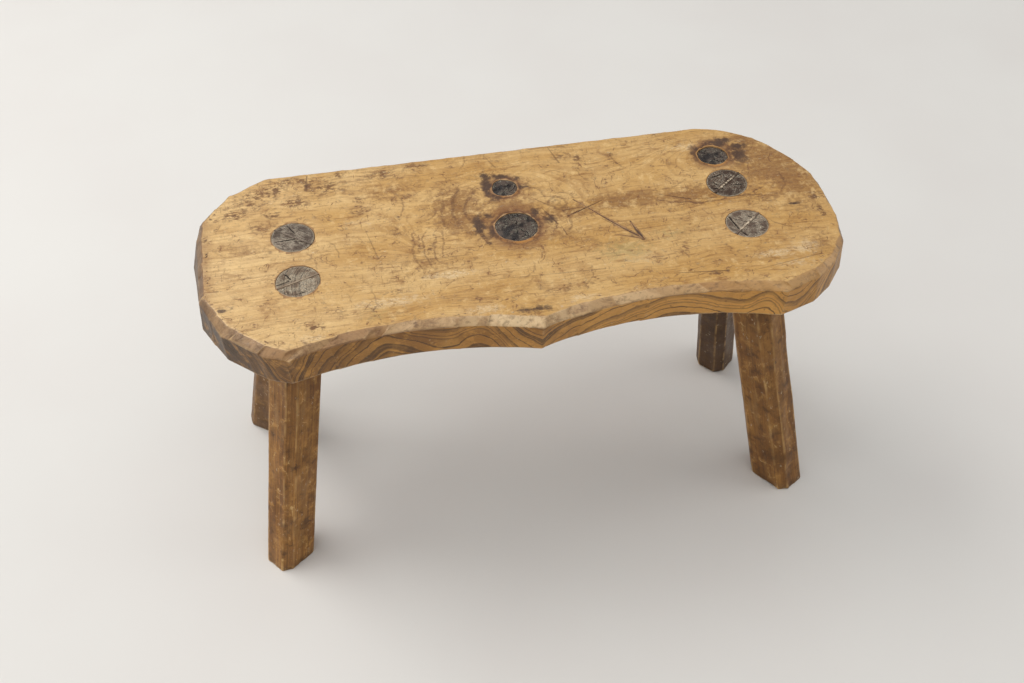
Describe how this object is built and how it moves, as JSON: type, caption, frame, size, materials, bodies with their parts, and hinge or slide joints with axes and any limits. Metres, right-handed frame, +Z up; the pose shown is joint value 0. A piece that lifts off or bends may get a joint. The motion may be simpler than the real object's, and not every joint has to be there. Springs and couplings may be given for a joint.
{
  "type": "stool",
  "caption": "Low rustic stool: a thick wooden slab seat with a scooped front edge on splayed, faceted legs whose wedged round tenons run through the slab.",
  "frame": {"origin": "on the floor, in the middle of the stool's bounding box in X and Y", "axes": "+X along the seat's length, +Y towards its straight long edge (the scooped edge faces -Y), +Z up out of the sitting face"},
  "size_m": [0.631, 0.248, 0.33],
  "materials": {
    "seat_wood": "honey-brown softwood, old wax polish worn to a satin sheen",
    "leg_wood": "darker brown knife-cut wood, lightly polished, scuffed",
    "wedge_wood": "weathered end grain",
    "knot_wood": "near-black dead branch wood, cracked"
  },
  "bodies": {
    "root": {"seat_slab": "seat_wood", "leg_front_left": "leg_wood", "leg_front_right": "leg_wood", "leg_rear_left": "leg_wood", "leg_rear_right": "leg_wood", "wedge_front_left": "wedge_wood", "wedge_front_right": "wedge_wood", "wedge_rear_left": "wedge_wood", "wedge_rear_right": "wedge_wood", "knot_centre_front": "knot_wood", "knot_centre_rear": "knot_wood", "knot_rear_right": "knot_wood"}
  },
  "joints": []
}
